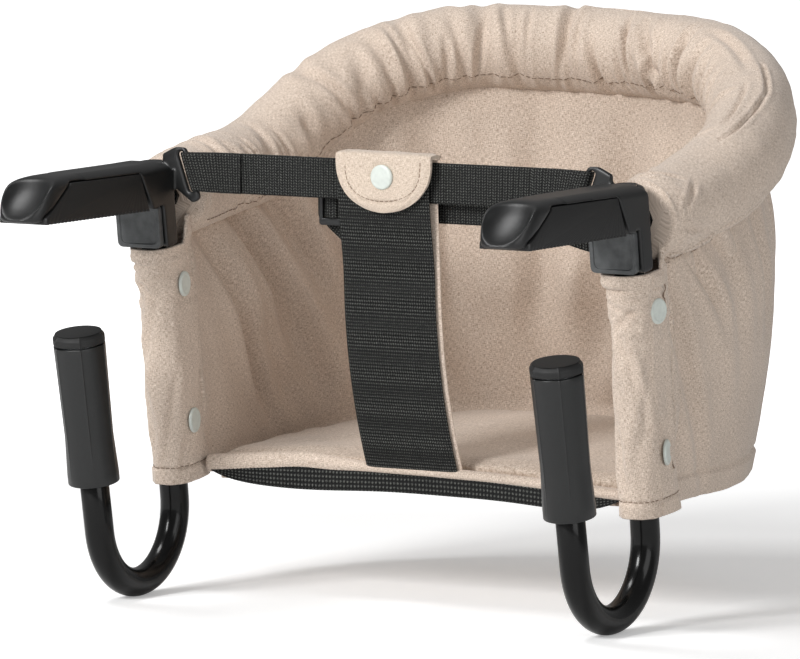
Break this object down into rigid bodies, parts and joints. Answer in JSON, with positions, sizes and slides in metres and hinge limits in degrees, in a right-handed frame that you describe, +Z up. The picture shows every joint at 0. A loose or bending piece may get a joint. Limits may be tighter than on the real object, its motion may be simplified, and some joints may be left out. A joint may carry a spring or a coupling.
{
  "type": "hook-on table chair",
  "caption": "Child's seat that hooks on to a table edge: two folding arms over steel hooks with screw jacks, a padded back hoop and a hanging cloth seat with straps.",
  "frame": {"origin": "middle of the table's top edge: the table top is z = 0, its edge is y = 0 and x = 0 is halfway between the arms", "axes": "+X to the right of someone who stands at the table and faces the seat, +Y from the table's edge to the seat's back, +Z up"},
  "size_m": [0.4, 0.4615, 0.352],
  "materials": {
    "powder_coated_steel": "gloss",
    "zinc_plated_steel": "satin",
    "black_nylon": "satin",
    "white_plastic": "satin",
    "black_rubber": "matt",
    "grey_rubber": "matt",
    "beige_melange_cloth": "woven",
    "black_webbing": "woven",
    "board_plastic": "matt"
  },
  "bodies": {
    "seat_frame": {"right_hoop_eye": "zinc_plated_steel", "right_waist_strap": "black_webbing", "right_leg_sleeve": "beige_melange_cloth", "right_eye_washer": "white_plastic", "right_upper_stud": "white_plastic", "right_lower_stud": "white_plastic", "left_hoop_eye": "zinc_plated_steel", "left_waist_strap": "black_webbing", "left_leg_sleeve": "beige_melange_cloth", "left_eye_washer": "white_plastic", "left_upper_stud": "white_plastic", "left_lower_stud": "white_plastic", "hoop_tube": "powder_coated_steel", "hoop_bolster": "beige_melange_cloth", "outer_cover": "beige_melange_cloth", "inner_lining": "beige_melange_cloth", "seat_cushion": "beige_melange_cloth", "seat_board": "board_plastic", "seat_sling": "beige_melange_cloth", "seat_front_band": "black_webbing", "crotch_strap": "black_webbing", "crotch_lining": "beige_melange_cloth", "harness_belt_right": "black_webbing", "harness_belt_left": "black_webbing", "buckle_housing": "black_nylon", "belt_adjuster": "black_nylon"},
    "right_arm": {"right_arm_shell": "black_nylon", "right_arm_grip": "black_rubber", "right_upright_tube": "powder_coated_steel", "right_edge_pad": "grey_rubber", "right_bracket_screw": "zinc_plated_steel", "right_jack_nut": "zinc_plated_steel"},
    "right_jack_foot": {"right_jack_cap": "black_rubber", "right_jack_swivel": "zinc_plated_steel"},
    "right_jack_grip": {"right_jack_sleeve": "black_nylon", "right_jack_screw": "zinc_plated_steel"},
    "left_arm": {"left_arm_shell": "black_nylon", "left_arm_grip": "black_rubber", "left_upright_tube": "powder_coated_steel", "left_edge_pad": "grey_rubber", "left_bracket_screw": "zinc_plated_steel", "left_jack_nut": "zinc_plated_steel"},
    "left_jack_foot": {"left_jack_cap": "black_rubber", "left_jack_swivel": "zinc_plated_steel"},
    "left_jack_grip": {"left_jack_sleeve": "black_nylon", "left_jack_screw": "zinc_plated_steel"},
    "flap": {"strap_flap": "beige_melange_cloth", "flap_stud_cap": "white_plastic"},
    "clip": {"buckle_clip": "black_nylon"}
  },
  "joints": [
    {"name": "right_arm_fold", "type": "hinge", "parent": "seat_frame", "child": "right_arm", "pos_m": [0.168, 0.017, 0], "axis": [0, 0.1305, -0.9914], "range_deg": [0, 40], "deforming": ["right_waist_strap"]},
    {"name": "right_jack_lift", "type": "slide", "parent": "right_arm", "child": "right_jack_foot", "axis": [0, -0.1822, 0.9833], "range_m": [-0.01, 0.048]},
    {"name": "right_jack_turn", "type": "hinge", "parent": "right_jack_foot", "child": "right_jack_grip", "pos_m": [0.168, -0.04483, -0.19643], "axis": [0, -0.1822, 0.9833], "range_deg": [-601, 2881]},
    {"name": "left_arm_fold", "type": "hinge", "parent": "seat_frame", "child": "left_arm", "pos_m": [-0.168, 0.017, 0], "axis": [0, -0.1305, 0.9914], "range_deg": [0, 40], "deforming": ["left_waist_strap"]},
    {"name": "left_jack_lift", "type": "slide", "parent": "left_arm", "child": "left_jack_foot", "axis": [0, -0.1822, 0.9833], "range_m": [-0.01, 0.048]},
    {"name": "left_jack_turn", "type": "hinge", "parent": "left_jack_foot", "child": "left_jack_grip", "pos_m": [-0.168, -0.04483, -0.19643], "axis": [0, -0.1822, 0.9833], "range_deg": [-601, 2881]},
    {"name": "flap_lift", "type": "hinge", "parent": "seat_frame", "child": "flap", "pos_m": [0, 0.0206, 0.0386], "axis": [-1, 0, 0], "range_deg": [0, 120]},
    {"name": "buckle_release", "type": "slide", "parent": "seat_frame", "child": "clip", "axis": [1, 0, 0], "range_m": [0, 0.025], "deforming": ["harness_belt_right"]}
  ],
  "couplings": [
    {"joint": "right_jack_turn", "follows": "right_jack_lift", "rad_per_m": 1047.2},
    {"joint": "left_jack_turn", "follows": "left_jack_lift", "rad_per_m": 1047.2}
  ]
}
